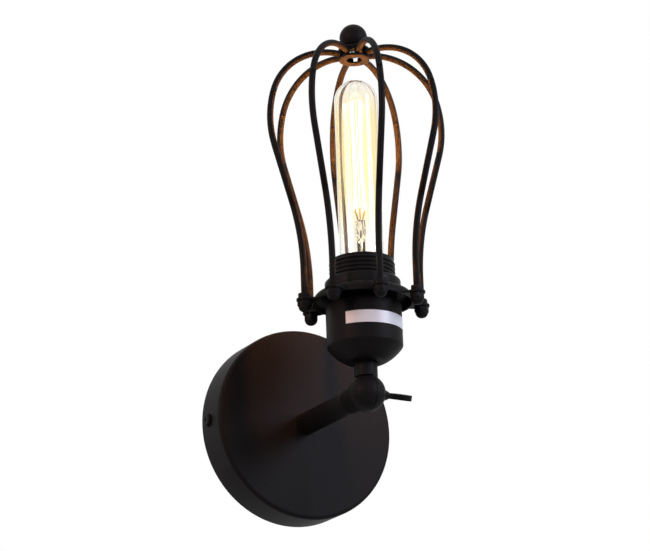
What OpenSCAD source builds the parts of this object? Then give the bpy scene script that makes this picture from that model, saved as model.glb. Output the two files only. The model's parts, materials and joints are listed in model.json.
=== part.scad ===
// Cage wall light: a round wall plate, a short arm, a ball knuckle and a wire cage round a tubular bulb.
// The origin is the centre of the plate on the wall, +Y points into the wall and +Z points up.
// Heights in the head are measured from the knuckle's centre.

/* [Wall plate] */
// Diameter of the pressed wall plate
plate_d = 121; // [110:1:150]
// Distance of the plate's face from the wall
plate_depth = 24; // [22:0.5:40]
// Thickness of the plate's sheet
plate_wall = 1.2; // [0.8:0.1:1.8]
// Outside radius of the plate's front edge
plate_edge = 2.5; // [2.1:0.1:6]
// Distance of the side screws from the wall
side_screw_stand = 8.5; // [7:0.5:9.5]

/* [Mounting bar] */
// Thickness of the bar's steel
bar_t = 2; // [1.5:0.25:2.5]
// Height of the bar's strip
bar_w = 14; // [12:1:18]
// Length of the tabs that the side screws go into
bar_tab = 13.5; // [12.5:0.5:15]
// Width of the bar's middle plate
bar_wing_w = 30; // [28:1:32]
// Height of the bar's middle plate
bar_wing_h = 44; // [42:1:50]
// Distance between the two wall screw slots
slot_spacing = 60; // [56:1:66]
// Length of each slot, end to end
slot_length = 12; // [8:0.5:13]
// Width of each slot
slot_w = 5; // [4:0.25:6]
// Diameter of the hole for the house cable
cable_hole_d = 10; // [8:0.5:12]

/* [Terminal block] */
// Distance between the poles
pole_pitch = 8; // [7:0.25:9]
// Height of the block
block_h = 12; // [10:0.5:14]
// Depth of the block from the bar
block_t = 10; // [8:0.5:11]
// Diameter of the insulated leads
lead_d = 1.8; // [1.4:0.1:2]

/* [Arm] */
// Distance from the plate's face to the knuckle's centre
arm_reach = 76; // [60:1:120]
// Outside diameter of the arm tube
arm_d = 14; // [13:0.1:14.5]
// Bore of the arm tube
arm_bore = 7; // [6:0.25:7.5]
// Diameter of the threaded end that goes through the plate
arm_end_d = 10; // [9:0.25:10.5]
// Thickness of the arm's lock nut
lock_nut_h = 3.5; // [3:0.25:5]

/* [Knuckle] */
// Diameter of the knuckle ball
ball_d = 22.8; // [22:0.1:24]
// Diameter of the collar between the ball and the arm
collar_d = 16; // [15.8:0.1:17]
// Length of the collar, from the ball's centre to its end
collar_end = 18.5; // [17:0.5:24]
// Side of the fixed cheek that the tongue lies against
cheek_face = 0.6; // [0:0.1:1.2]
// Thickness of the neck's tongue in the ball
tongue_t = 5.1; // [4.5:0.1:5.6]
// Gap between the turning faces of the knuckle
knuckle_gap = 0.3; // [0.2:0.05:0.4]
// Gap between the ball and the mouth of the neck or collar
mouth_gap = 0.8; // [0.5:0.1:1.2]
// Diameter of the neck above the ball
neck_d = 14.1; // [13.5:0.1:14.6]
// Height of the neck's top
neck_top = 19.1; // [18:0.1:20]
// Bore of the neck's nipple
nipple_bore = 7; // [6.5:0.25:7.5]
// Outside diameter of the neck's nipple
nipple_d = 10; // [9.5:0.1:10.2]

/* [Thumb screw] */
// Diameter of the thumb screw's shank
thumb_d = 5; // [4:0.25:5.5]
// Length of the cone between the ball and the paddle
thumb_cone = 4.7; // [3:0.1:7]
// Large diameter of that cone
thumb_cone_d = 7.6; // [6:0.1:8]
// Small diameter of that cone
thumb_cone_tip = 3.3; // [3:0.1:5]
// Length of the flat paddle
paddle_len = 15; // [12:0.5:20]
// Width of the paddle
paddle_w = 12; // [8:0.5:12]
// Thickness of the paddle
paddle_t = 3.4; // [2:0.1:4]
// Turn of the paddle from level when the screw is tight
paddle_turn = 20; // [-90:1:90]

/* [Socket cup] */
// Diameter of the cup
cup_d = 46.1; // [45:0.1:50]
// Height of the cup
cup_h = 35.2; // [33:0.1:38]
// Radius of the cup's round bottom
cup_bowl_r = 28; // [27:0.1:29]
// Radius of the flat in the middle of the cup's bottom
cup_floor_r = 12; // [11:0.1:13]
// Thickness of the cup's sheet
cup_wall = 1.2; // [0.8:0.1:1.3]

/* [Lamp holder] */
// Diameter of the holder's skirt in the cup
skirt_d = 41.2; // [40.8:0.1:41.8]
// Wall of the holder's skirt
skirt_wall = 1.6; // [1.2:0.1:2]
// Height of the holder's shoulder above the cup's top
shoulder_rise = 7; // [6:0.1:10]
// Thickness of the wall below the shoulder
shoulder_t = 4; // [3:0.5:6]
// Core diameter of the threaded collar above the shoulder
thread_d = 38.8; // [38.4:0.1:39.2]
// Bore of the threaded collar
mouth_d = 31; // [30.5:0.5:33]
// Length of thread that shows above the shade ring
thread_show = 12.7; // [8:0.1:16]
// Diameter of the shade ring
ring_d = 46.1; // [44:0.1:48]
// Height of the shade ring
ring_h = 7.7; // [5:0.1:10]
// Chamfer of the shade ring's upper edge
ring_chamfer = 1.2; // [0.5:0.1:2]

/* [Cage base] */
// Diameter of the pressed gallery without its ears
gallery_d = 61.5; // [58:0.5:64]
// Depth of the gallery, from its flat top to its ears
gallery_depth = 6.8; // [6.6:0.1:9]
// Radius of the gallery's round shoulder
gallery_edge = 6; // [5:0.1:6.4]
// Thickness of the gallery's sheet
gallery_wall = 1.4; // [1:0.1:1.8]
// Width of each ear
ear_w = 10; // [9.5:0.1:11]

/* [Cage wires] */
// Number of wires
wire_count = 8; // [8:1:8]
// Direction of the first wire round the head
wire_start = -13.5; // [-20:0.5:0]
// Diameter of a wire
wire_d = 4; // [3.5:0.1:4.2]
// Distance of a wire's foot from the head's axis
foot_r = 36.7; // [36:0.1:40]
// Height of the straight foot above its ear
foot_rise = 17.2; // [8:0.1:30]
// Radius of the bend that leans the wire outward
lean_bend_r = 169; // [100:1:220]
// Outward lean of the wire's leg
lean = 15.5; // [12:0.1:18]
// Length of the straight leg
leg_len = 36.6; // [20:0.1:50]
// Radius of the bend at the cage's widest place
belly_bend_r = 66.5; // [60:0.5:80]
// Inward lean above the widest place
top_lean = 14.7; // [10:0.1:20]
// Length of the straight between the two upper bends
top_run = 1.1; // [1:0.1:6]
// Radius of the bend over the top
top_bend_r = 38.6; // [36:0.1:40]
// Slope of the wire's end, down towards the crown
end_dip = 7; // [5:0.5:8]

/* [Crown] */
// Diameter of the ring below the wires' ends
crown_ring_d = 19.1; // [18:0.1:22]
// Hole of that ring
crown_ring_hole = 9.6; // [9:0.1:11]
// Diameter of the disc above the wires' ends
crown_disc_d = 19.6; // [18:0.1:24]
// Thickness of ring and disc
crown_t = 1.5; // [1:0.1:2]
// Distance of the wires' ends from the head's axis
wire_end_r = 8; // [7:0.1:8.5]
// Diameter of the finial ball
finial_d = 17.4; // [14:0.1:20]
// Diameter of the finial screw's head
finial_head_d = 8.4; // [7:0.1:9]
// Height of the finial screw's head
finial_head_h = 3.4; // [2:0.1:3.8]

/* [Nuts and screws] */
// Diameter of the small machine screws
screw_d = 4; // [3.5:0.1:4.2]
// Diameter of a pan head
pan_head_d = 8.2; // [7:0.1:8.6]
// Height of a pan head
pan_head_h = 1.8; // [1.6:0.1:2.4]
// Width across flats of the hex nuts on the wires
nut_flats = 7; // [7:0.5:8]
// Width across flats of the dome nuts below the ears
dome_nut_flats = 8; // [7.5:0.5:8.5]
// Height of a hex nut
nut_h = 3.2; // [2.5:0.1:4]
// Height of a dome nut
dome_nut_h = 7; // [6.5:0.1:9]
// Height of a dome nut's hexagon
dome_nut_hex_h = 3.4; // [2.5:0.1:4]

/* [Bulb] */
// Diameter of the glass tube
bulb_d = 27; // [26.5:0.5:29]
// Length of the bulb, from its contact to its tip
bulb_len = 169.2; // [140:0.1:190]
// Wall of the glass
glass_wall = 0.8; // [0.6:0.1:1]
// Diameter of the screw cap
bulb_cap_d = 26.2; // [26:0.1:26.4]
// Length of the screw cap's shell
bulb_cap_h = 21; // [18:0.5:24]
// Diameter of the cage of filament strands
filament_cage_d = 7.6; // [6:0.1:12]
// Height of the filament strands
filament_h = 70; // [40:1:80]
// Diameter of a strand
strand_d = 0.7; // [0.5:0.1:1]
// Number of strands
strand_count = 8; // [6:1:10]
// Distance from the bulb's tip to the filament's top
filament_drop = 14.5; // [13:0.5:20]

/* [Hidden] */
$fn = 72;

// Radial gap of a thread or a shaft in its hole
thread_clear = 0.05;
// Radial gap of a part that passes through a sheet
pass_clear = 0.1;
// Gap between a part and the seat that carries it
seat_gap = 0.1;
// How far a straight bar laps into a bend, and how much thinner the bend is
bar_lap = 0.1;
bend_relief = 0.01;
// Gap between the mounting bar's tabs and the plate's rim, at the tab's corners
tab_clear = 0.4;
// How far a cutting shape runs past the face it cuts
over = 1;

plate_r = plate_d / 2;
knuckle_y = -(plate_depth + arm_reach);
rim_inner_r = plate_r - plate_wall;
tab_face_x = sqrt(pow(rim_inner_r, 2) - pow(bar_w / 2, 2)) - tab_clear;
screw_hole_r = screw_d / 2 + thread_clear;

// Terminal block on the upper half of the mounting bar's middle plate
block_poles = 3;
block_w = block_poles * pole_pitch;
block_inset = 2;
block_bottom = bar_wing_h / 2 - block_h - block_inset;
wire_hole_clear = 0.7;
wire_hole_r = lead_d / 2 + wire_hole_clear;
wire_hole_stand = bar_t + block_t / 2;
terminal_screw_r = 1.5;
terminal_screw_h = 2.5;
terminal_screw_sink = 0.4;
cable_hole_inset = 3;
cable_hole_z = -(bar_wing_h / 2 - cable_hole_d / 2 - cable_hole_inset);
earth_x = -(bar_wing_w / 2 + slot_spacing / 2 - slot_length / 2) / 2;
side_screw_reach = 4;

// Arm
arm_r = arm_d / 2;
arm_socket = 6;
arm_end_len = 6.7;
washer_t = 1;
washer_r = arm_end_d / 2 + 4;
lock_nut_flats = arm_end_d + 4;
lead_bend_r = 4;

// Knuckle
ball_r = ball_d / 2;
mouth_r = ball_r + mouth_gap;
tongue_x = cheek_face + knuckle_gap;
cap_x = tongue_x + tongue_t + knuckle_gap;
cap_flat_depth = 0.4;
cap_flat_x = ball_r - cap_flat_depth;
thumb_tip_depth = 6;
thumb_head_x = cap_flat_x + 2 * seat_gap;
paddle_lap = 0.6;
pocket_r = 5.5;
pocket_depth = 2.5;
wiring_r = 3.3;
nipple_seat = 13;

// Cup and lamp holder
cup_r = cup_d / 2;
cup_top = neck_top + cup_h;
bowl_z = neck_top + sqrt(pow(cup_bowl_r, 2) - pow(cup_floor_r, 2));
cup_floor_z = neck_top + cup_wall;
neck_nut_flats = nipple_d + 3;
neck_nut_h = 3;
base_stand = 1;
base_z = cup_floor_z + neck_nut_h + base_stand;
skirt_r = skirt_d / 2;
skirt_bottom = bowl_z - sqrt(pow(cup_bowl_r - cup_wall, 2) - pow(skirt_r + pass_clear, 2)) + pass_clear;
base_lower_h = skirt_bottom - base_z;
base_upper_h = 3;
base_top = base_z + base_lower_h + base_upper_h;
base_lower_r = 14.5;
nipple_lap = 2.2;
nipple_top = base_z + nipple_lap;
skirt_bore_r = skirt_r - skirt_wall;
shoulder_z = cup_top + shoulder_rise;
gallery_top = shoulder_z + gallery_wall;
ring_top = gallery_top + ring_h;
barrel_top = ring_top + thread_show;
lead_x = 2.2;
strip_t = 0.8;
strip_w = 5;
contact_bump_h = 0.6;
contact_bump_x = 1.4;
contact_bump_r = 1.6;
strip_start_x = -0.4;
strip_end_clear = 1;
strip_gap_x = 1.2;
shell_clear = 0.4;
shell_bore_r = bulb_cap_d / 2 + shell_clear;
shell_t = 0.5;
shell_h = 23;
holder_screw_r = 1.6;
holder_screw_x = 8;
holder_screw_head_h = 1;

// Cage base
gallery_r = gallery_d / 2;
ear_bottom = gallery_top - gallery_depth;
ear_top = ear_bottom + gallery_wall;
dome_nut_end = 2.5;
dome_nut_bevel = 0.1;
wire_r = wire_d / 2;
wire_hole = wire_r + pass_clear;

// Wires: the foot starts inside its dome nut
foot_sink = dome_nut_h - dome_nut_end;
wire_turn = 360 / wire_count;
wire_top = ear_top + foot_rise + lean_bend_r * sin(lean) + leg_len * cos(lean)
    + belly_bend_r * (sin(lean) + sin(top_lean)) + top_run * cos(top_lean) + top_bend_r * (1 - sin(top_lean));
peak_r = foot_r + lean_bend_r * (1 - cos(lean)) + leg_len * sin(lean)
    + belly_bend_r * (cos(top_lean) - cos(lean)) - top_run * sin(top_lean) - top_bend_r * cos(top_lean);

// Crown, against the wires' ends, which slope down to it
end_run = (peak_r - top_bend_r * sin(end_dip) - wire_end_r) / cos(end_dip);
crown_z = wire_top - top_bend_r * (1 - cos(end_dip)) - end_run * sin(end_dip);
disc_bottom = crown_z + wire_r / cos(end_dip) + (crown_disc_d / 2 - wire_end_r) * tan(end_dip) + seat_gap;
disc_top = disc_bottom + crown_t;
ring_seat = crown_z - wire_r - seat_gap;
finial_flat_r = 4;
finial_z = disc_top + sqrt(pow(finial_d / 2, 2) - pow(finial_flat_r, 2));
finial_bore = 8;

// Bulb
contact_z = base_top + strip_t + contact_bump_h + seat_gap;
contact_h = 1.2;
contact_r = 4.8;
insulator_h = 3.2;
cap_bottom = contact_z + contact_h + insulator_h;
cap_top = cap_bottom + bulb_cap_h;
cap_r = bulb_cap_d / 2;
cap_wall = 0.4;
glass_r = bulb_d / 2;
glass_neck_r = cap_r - cap_wall - seat_gap;
glass_lap = 8;
glass_bottom = cap_top - glass_lap;
glass_neck_show = 4;
flare_start = cap_top + glass_neck_show;
flare_h = 9;
dome_z = contact_z + bulb_len - glass_r;
filament_top = contact_z + bulb_len - filament_drop;
filament_bottom = filament_top - filament_h;
bead_drop = 8;
bead_top = filament_bottom - bead_drop;
bead_h = 9.5;
stem_r = 2.4;
bead_r = 3.2;
stem_lap = 2;
support_r = 0.5;
support_stand = 1.4;
strand_thinning = 0.8;

module to_knuckle() {
    translate([0, knuckle_y, 0]) children();
}

// Turns a shape that stands on the wall, height first, so that its height runs out from the wall
module from_wall() {
    rotate([90, 0, 0]) children();
}

// Turns a shape that stands on Z so that it points along +X
module along_x() {
    rotate([0, 90, 0]) children();
}

module ring_of_wires() {
    for (i = [0 : wire_count - 1]) rotate([0, 0, wire_start + i * wire_turn]) children();
}

// Half section of a disc with a rounded upper edge
module rounded_section(r, h, edge) {
    intersection() {
        union() {
            square([r - edge, h]);
            square([r, h - edge]);
            translate([r - edge, h - edge]) circle(r = edge);
        }
        square([r, h]);
    }
}

// A pressed dish, open below, with the sheet's thickness all over
module pressed_dish(r, h, edge, wall) {
    difference() {
        rotate_extrude() rounded_section(r, h, edge);
        translate([0, 0, -over]) rotate_extrude() rounded_section(r - wall, h - wall + over, edge - wall);
    }
}

module hexagon(flats, h) {
    cylinder(d = flats / cos(30), h = h, $fn = 6);
}

// A pan head that sits on z = 0
module pan_head(d, h) {
    rotate_extrude() rounded_section(d / 2, h, h * 0.6);
}

// Slice of a ball between two heights on its own axis, which lies along X
module ball_slice(r, x_low, x_high) {
    along_x() rotate_extrude() intersection() {
        circle(r = r);
        translate([0, x_low]) square([r, x_high - x_low]);
    }
}

// Wall plate and mounting bar

module wall_plate() {
    color("#1f1b19") from_wall() difference() {
        pressed_dish(plate_r, plate_depth, plate_edge, plate_wall);
        translate([0, 0, plate_depth - plate_wall - over])
            cylinder(r = arm_end_d / 2 + pass_clear, h = plate_wall + 2 * over);
        translate([-plate_r - over, 0, side_screw_stand]) along_x()
            cylinder(r = screw_d / 2 + pass_clear, h = plate_d + 2 * over);
    }
}

module slot() {
    run_x = slot_length / 2 - slot_w / 2;
    for (side = [-1, 1]) translate([side * run_x, 0, -over]) cylinder(d = slot_w, h = bar_t + 2 * over);
    translate([-run_x, -slot_w / 2, -over]) cube([2 * run_x, slot_w, bar_t + 2 * over]);
}

module mounting_bar() {
    color("silver") from_wall() difference() {
        union() {
            translate([-tab_face_x, -bar_w / 2, 0]) cube([2 * tab_face_x, bar_w, bar_t]);
            translate([-bar_wing_w / 2, -bar_wing_h / 2, 0]) cube([bar_wing_w, bar_wing_h, bar_t]);
            for (side = [0, 1]) mirror([side, 0, 0])
                translate([tab_face_x - bar_t, -bar_w / 2, 0]) cube([bar_t, bar_w, bar_tab]);
        }
        translate([-plate_r, 0, side_screw_stand]) along_x() cylinder(r = screw_hole_r, h = plate_d);
        for (side = [-1, 1]) translate([side * slot_spacing / 2, 0, 0]) slot();
        translate([0, cable_hole_z, -over]) cylinder(d = cable_hole_d, h = bar_t + 2 * over);
        translate([earth_x, 0, -over]) cylinder(r = screw_hole_r, h = bar_t + 2 * over);
    }
}

module side_screws() {
    shank = plate_r - tab_face_x + bar_t + side_screw_reach;
    color("#2b2624") for (side = [0, 1]) mirror([side, 0, 0])
        translate([plate_r + seat_gap, 0, 0]) from_wall() translate([0, 0, side_screw_stand]) along_x() {
            pan_head(pan_head_d, pan_head_h);
            translate([0, 0, -shank]) cylinder(d = screw_d, h = shank);
        }
}

module earth_screw() {
    color("gold") from_wall() translate([earth_x, 0, 0]) {
        cylinder(d = screw_d, h = bar_t + washer_t);
        translate([0, 0, bar_t]) cylinder(d = pan_head_d, h = washer_t);
        translate([0, 0, bar_t + washer_t]) pan_head(pan_head_d, pan_head_h);
    }
}

module at_poles() {
    for (i = [0 : block_poles - 1]) translate([(i - (block_poles - 1) / 2) * pole_pitch, 0, 0]) children();
}

module at_terminal_screws() {
    at_poles() for (level = [0.25, 0.75])
        translate([0, block_bottom + level * block_h, bar_t + block_t - terminal_screw_h]) children();
}

module terminal_block() {
    color("ivory") from_wall() difference() {
        translate([-block_w / 2, block_bottom, bar_t]) cube([block_w, block_h, block_t]);
        at_poles() translate([0, block_bottom + block_h + over, wire_hole_stand]) rotate([90, 0, 0])
            cylinder(r = wire_hole_r, h = block_h + 2 * over);
        at_terminal_screws() cylinder(r = terminal_screw_r + thread_clear, h = terminal_screw_h + over);
    }
}

module terminal_screws() {
    color("gold") from_wall() at_terminal_screws() 
        cylinder(r = terminal_screw_r, h = terminal_screw_h - terminal_screw_sink);
}

// Arm, from the plate to the knuckle

module arm_tube() {
    tube_len = arm_reach - collar_end + arm_socket;
    color("#1f1b19") from_wall() translate([0, 0, plate_depth]) difference() {
        union() {
            cylinder(r = arm_r, h = tube_len);
            translate([0, 0, -arm_end_len]) cylinder(d = arm_end_d, h = arm_end_len);
        }
        translate([0, 0, -arm_end_len - over])
            cylinder(d = arm_bore, h = arm_end_len + tube_len + 2 * over);
    }
}

module arm_washer() {
    color("silver") from_wall() translate([0, 0, plate_depth - plate_wall - washer_t]) difference() {
        cylinder(r = washer_r, h = washer_t);
        translate([0, 0, -over]) cylinder(r = arm_end_d / 2 + pass_clear, h = washer_t + 2 * over);
    }
}

module arm_lock_nut() {
    nut_stand = plate_depth - plate_wall - washer_t - lock_nut_h;
    color("silver") from_wall() translate([0, 0, nut_stand]) difference() {
        hexagon(lock_nut_flats, lock_nut_h);
        translate([0, 0, -over]) cylinder(r = arm_end_d / 2 + thread_clear, h = lock_nut_h + 2 * over);
    }
}

// Straight parts and bends of a round bar: each starts at z = 0 and puts what follows at its end.
// A straight part laps a little into the bends beside it, which are a hair thinner where they enter it.
module straight_bar(r, len) {
    translate([0, 0, -bar_lap]) cylinder(r = r, h = len + 2 * bar_lap);
    translate([0, 0, len]) children();
}

module bend_out(r, bend_r, a) {
    translate([bend_r, 0, 0]) rotate([90, 0, 180]) rotate_extrude(angle = a)
        translate([bend_r, 0]) circle(r = r - bend_relief);
    translate([bend_r * (1 - cos(a)), 0, bend_r * sin(a)]) rotate([0, a, 0]) children();
}

module bend_in(r, bend_r, a) {
    translate([-bend_r, 0, 0]) rotate([90, 0, 0]) rotate_extrude(angle = a)
        translate([bend_r, 0]) circle(r = r - bend_relief);
    translate([-bend_r * (1 - cos(a)), 0, bend_r * sin(a)]) rotate([0, -a, 0]) children();
}

// Each lead starts in the collar, runs along the arm, turns up in the plate and fans out to its pole
module arm_leads() {
    fan = atan((pole_pitch - lead_x) / block_bottom);
    lead_start = mouth_r + seat_gap;
    run_y = -knuckle_y - wire_hole_stand - lead_bend_r - lead_start;
    rise = block_bottom - seat_gap * 3 - lead_bend_r;
    color("sienna") for (side = [0, 1]) mirror([side, 0, 0]) translate([lead_x, knuckle_y + lead_start, 0])
        rotate([0, fan, 0]) rotate([-90, -90, 0]) straight_bar(lead_d / 2, run_y)
            bend_out(lead_d / 2, lead_bend_r, 90) straight_bar(lead_d / 2, rise);
}

// Knuckle

module knuckle_base() {
    color("#1f1b19") to_knuckle() difference() {
        union() {
            ball_slice(ball_r, -ball_r, cheek_face);
            rotate([-90, 0, 0]) cylinder(d = collar_d, h = collar_end);
        }
        ball_slice(mouth_r, cheek_face, mouth_r);
        translate([0, collar_end - arm_socket, 0]) rotate([-90, 0, 0])
            cylinder(r = arm_r + thread_clear, h = arm_socket + over);
        translate([0, pocket_r / 2, 0]) rotate([-90, 0, 0]) cylinder(r = wiring_r, h = collar_end);
        translate([cheek_face - pocket_depth, 0, 0]) along_x() cylinder(r = pocket_r, h = pocket_depth + over);
        translate([-thumb_tip_depth - over, 0, 0]) along_x()
            cylinder(r = thumb_d / 2 + thread_clear, h = ball_r);
    }
}

module knuckle_cap() {
    color("#1f1b19") to_knuckle() difference() {
        ball_slice(ball_r, cap_x, cap_flat_x);
        along_x() cylinder(r = thumb_d / 2 + thread_clear, h = ball_d);
    }
}

module thumb_screw() {
    paddle_x = thumb_head_x + thumb_cone - paddle_lap;
    color("#1f1b19") to_knuckle() rotate([paddle_turn, 0, 0]) {
        translate([-thumb_tip_depth, 0, 0]) along_x() cylinder(d = thumb_d, h = thumb_head_x + thumb_tip_depth);
        translate([thumb_head_x, 0, 0]) along_x()
            cylinder(d1 = thumb_cone_d, d2 = thumb_cone_tip, h = thumb_cone);
        translate([paddle_x, 0, -paddle_t / 2]) linear_extrude(height = paddle_t) thumb_paddle_outline();
    }
}

module thumb_paddle_outline() {
    root_w = thumb_cone_tip;
    end_r = paddle_w / 2;
    translate([paddle_len - end_r, 0]) circle(r = end_r);
    polygon([[0, -root_w / 2], [paddle_len - end_r, -end_r], [paddle_len - end_r, end_r], [0, root_w / 2]]);
}

module knuckle_tongue() {
    color("#1f1b19") to_knuckle() difference() {
        union() {
            ball_slice(ball_r, tongue_x, tongue_x + tongue_t);
            difference() {
                cylinder(d = neck_d, h = neck_top);
                ball_slice(mouth_r, -mouth_r, tongue_x);
                ball_slice(mouth_r, tongue_x + tongue_t, mouth_r);
            }
        }
        translate([tongue_x - over, 0, 0]) along_x() cylinder(r = pocket_r, h = pocket_depth + over);
        along_x() cylinder(r = thumb_d / 2 + thread_clear, h = ball_d);
        translate([tongue_x - over, -wiring_r, 0])
            cube([pocket_depth + over, 2 * wiring_r, nipple_seat + over]);
        translate([0, 0, nipple_seat]) cylinder(r = nipple_d / 2 + thread_clear, h = neck_top);
    }
}

module neck_nipple() {
    nipple_len = nipple_top - nipple_seat - seat_gap;
    color("silver") to_knuckle() translate([0, 0, nipple_seat + seat_gap]) difference() {
        cylinder(d = nipple_d, h = nipple_len);
        translate([0, 0, -over]) cylinder(d = nipple_bore, h = nipple_len + 2 * over);
    }
}

module neck_nut() {
    color("silver") to_knuckle() translate([0, 0, cup_floor_z]) difference() {
        hexagon(neck_nut_flats, neck_nut_h);
        translate([0, 0, -over]) cylinder(r = nipple_d / 2 + thread_clear, h = neck_nut_h + 2 * over);
    }
}

module neck_leads() {
    color("sienna") to_knuckle() for (side = [-1, 1]) translate([side * lead_x, 0, nipple_seat + over])
        cylinder(d = lead_d, h = base_top - nipple_seat - over);
}

// Socket cup and lamp holder

// Solid body of the cup, its round bottom and its side drawn in by the same amount
module cup_body(inset, top) {
    rotate_extrude() intersection() {
        union() {
            translate([0, bowl_z]) circle(r = cup_bowl_r - inset);
            translate([0, bowl_z]) square([cup_r - inset, top - bowl_z]);
        }
        translate([0, neck_top + inset]) square([cup_r - inset, top - neck_top - inset]);
    }
}

module socket_cup() {
    color("#1f1b19") to_knuckle() difference() {
        cup_body(0, cup_top);
        cup_body(cup_wall, cup_top + over);
        cylinder(r = nipple_d / 2 + pass_clear, h = cup_top);
    }
}

module holder_base() {
    color("ivory") to_knuckle() translate([0, 0, base_z]) difference() {
        union() {
            cylinder(r = base_lower_r, h = base_lower_h);
            translate([0, 0, base_lower_h]) cylinder(r = skirt_bore_r - pass_clear, h = base_upper_h);
        }
        translate([0, 0, -over]) cylinder(r = nipple_d / 2 + thread_clear, h = nipple_top - base_z + over);
        for (side = [-1, 1]) translate([side * lead_x, 0, 0])
            cylinder(r = lead_d / 2 + pass_clear, h = base_lower_h + base_upper_h + over);
        at_holder_screws() cylinder(r = holder_screw_r / 2 + thread_clear, h = base_lower_h + base_upper_h);
    }
}

module at_holder_screws() {
    for (side = [-1, 1]) translate([side * holder_screw_x, 0, base_lower_h]) children();
}

module centre_contact() {
    color("gold") to_knuckle() translate([0, 0, base_top]) difference() {
        union() {
            translate([strip_start_x, -strip_w / 2, 0])
                cube([holder_screw_x + holder_screw_r + strip_end_clear, strip_w, strip_t]);
            translate([contact_bump_x, 0, strip_t]) cylinder(r = contact_bump_r, h = contact_bump_h);
        }
        translate([holder_screw_x, 0, -over])
            cylinder(r = holder_screw_r / 2 + thread_clear, h = strip_t + 2 * over);
    }
}

module screw_shell() {
    ring_r = shell_bore_r + shell_t;
    color("gold") to_knuckle() translate([0, 0, base_top]) difference() {
        union() {
            difference() {
                cylinder(r = ring_r, h = shell_h);
                translate([0, 0, -over]) cylinder(r = shell_bore_r, h = shell_h + 2 * over);
            }
            translate([-shell_bore_r - shell_t / 2, -strip_w / 2, 0])
                cube([shell_bore_r + shell_t / 2 - strip_gap_x, strip_w, strip_t]);
        }
        translate([-holder_screw_x, 0, -over])
            cylinder(r = holder_screw_r / 2 + thread_clear, h = strip_t + 2 * over);
    }
}

module holder_screws() {
    color("silver") to_knuckle() translate([0, 0, base_z]) at_holder_screws() {
        cylinder(r = holder_screw_r / 2, h = base_upper_h + strip_t);
        translate([0, 0, base_upper_h + strip_t]) cylinder(r = holder_screw_r, h = holder_screw_head_h);
    }
}

module holder_barrel() {
    color("#26211f") to_knuckle() difference() {
        union() {
            translate([0, 0, skirt_bottom]) cylinder(r = skirt_r, h = shoulder_z - skirt_bottom);
            translate([0, 0, shoulder_z]) cylinder(d = thread_d, h = barrel_top - shoulder_z);
        }
        translate([0, 0, skirt_bottom - over])
            cylinder(r = skirt_bore_r, h = shoulder_z - shoulder_t - skirt_bottom + over);
        translate([0, 0, skirt_bottom]) cylinder(d = mouth_d, h = barrel_top);
    }
}

module shade_ring() {
    outer_r = ring_d / 2;
    color("#26211f") to_knuckle() translate([0, 0, gallery_top]) difference() {
        union() {
            cylinder(r = outer_r, h = ring_h - ring_chamfer);
            translate([0, 0, ring_h - ring_chamfer])
                cylinder(r1 = outer_r, r2 = outer_r - ring_chamfer, h = ring_chamfer);
        }
        translate([0, 0, -over]) cylinder(r = thread_d / 2 + thread_clear, h = ring_h + 2 * over);
    }
}

// Cage

module cage_base() {
    color("#1f1b19") to_knuckle() translate([0, 0, ear_bottom]) difference() {
        union() {
            pressed_dish(gallery_r, gallery_depth, gallery_edge, gallery_wall);
            ring_of_wires() {
                translate([gallery_r - gallery_wall, -ear_w / 2, 0])
                    cube([foot_r - gallery_r + gallery_wall, ear_w, gallery_wall]);
                translate([foot_r, 0, 0]) cylinder(d = ear_w, h = gallery_wall);
            }
        }
        cylinder(r = thread_d / 2 + pass_clear, h = gallery_depth + over);
        ring_of_wires() translate([foot_r, 0, -over]) cylinder(r = wire_hole, h = gallery_wall + 2 * over);
    }
}

module cage_wire(place) {
    color("#1f1b19") to_knuckle() rotate([0, 0, wire_start + (place - 1) * wire_turn])
        translate([foot_r, 0, ear_bottom - foot_sink])
            straight_bar(wire_r, foot_sink + gallery_wall + foot_rise)
            bend_out(wire_r, lean_bend_r, lean)
            straight_bar(wire_r, leg_len)
            bend_in(wire_r, belly_bend_r, lean + top_lean)
            straight_bar(wire_r, top_run)
            bend_in(wire_r, top_bend_r, 90 - top_lean + end_dip)
            straight_bar(wire_r, end_run);
}

module cage_hex_nuts() {
    color("#1f1b19") to_knuckle() ring_of_wires() translate([foot_r, 0, ear_top]) difference() {
        hexagon(nut_flats, nut_h);
        translate([0, 0, -over]) cylinder(r = wire_r + thread_clear, h = nut_h + 2 * over);
    }
}

module cage_dome_nuts() {
    dome_r = dome_nut_flats / 2 - dome_nut_bevel;
    bore_h = foot_sink + bar_lap + seat_gap;
    color("#1f1b19") to_knuckle() ring_of_wires() translate([foot_r, 0, ear_bottom]) mirror([0, 0, 1])
        difference() {
            union() {
                hexagon(dome_nut_flats, dome_nut_hex_h);
                rotate_extrude() rounded_section(dome_r, dome_nut_h, dome_r * 0.9);
            }
            translate([0, 0, -over]) cylinder(r = wire_r + thread_clear, h = bore_h + over);
        }
}

// Crown and finial

module crown_ring() {
    color("#1f1b19") to_knuckle() translate([0, 0, ring_seat - crown_t]) difference() {
        cylinder(d = crown_ring_d, h = crown_t);
        translate([0, 0, -over]) cylinder(d = crown_ring_hole, h = crown_t + 2 * over);
    }
}

module crown_disc() {
    color("#1f1b19") to_knuckle() translate([0, 0, disc_bottom]) difference() {
        cylinder(d = crown_disc_d, h = crown_t);
        translate([0, 0, -over]) cylinder(r = screw_hole_r, h = crown_t + 2 * over);
    }
}

module finial_screw() {
    color("silver") to_knuckle() translate([0, 0, disc_bottom]) {
        mirror([0, 0, 1]) pan_head(finial_head_d, finial_head_h);
        cylinder(d = screw_d, h = crown_t + finial_bore - over);
    }
}

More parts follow.
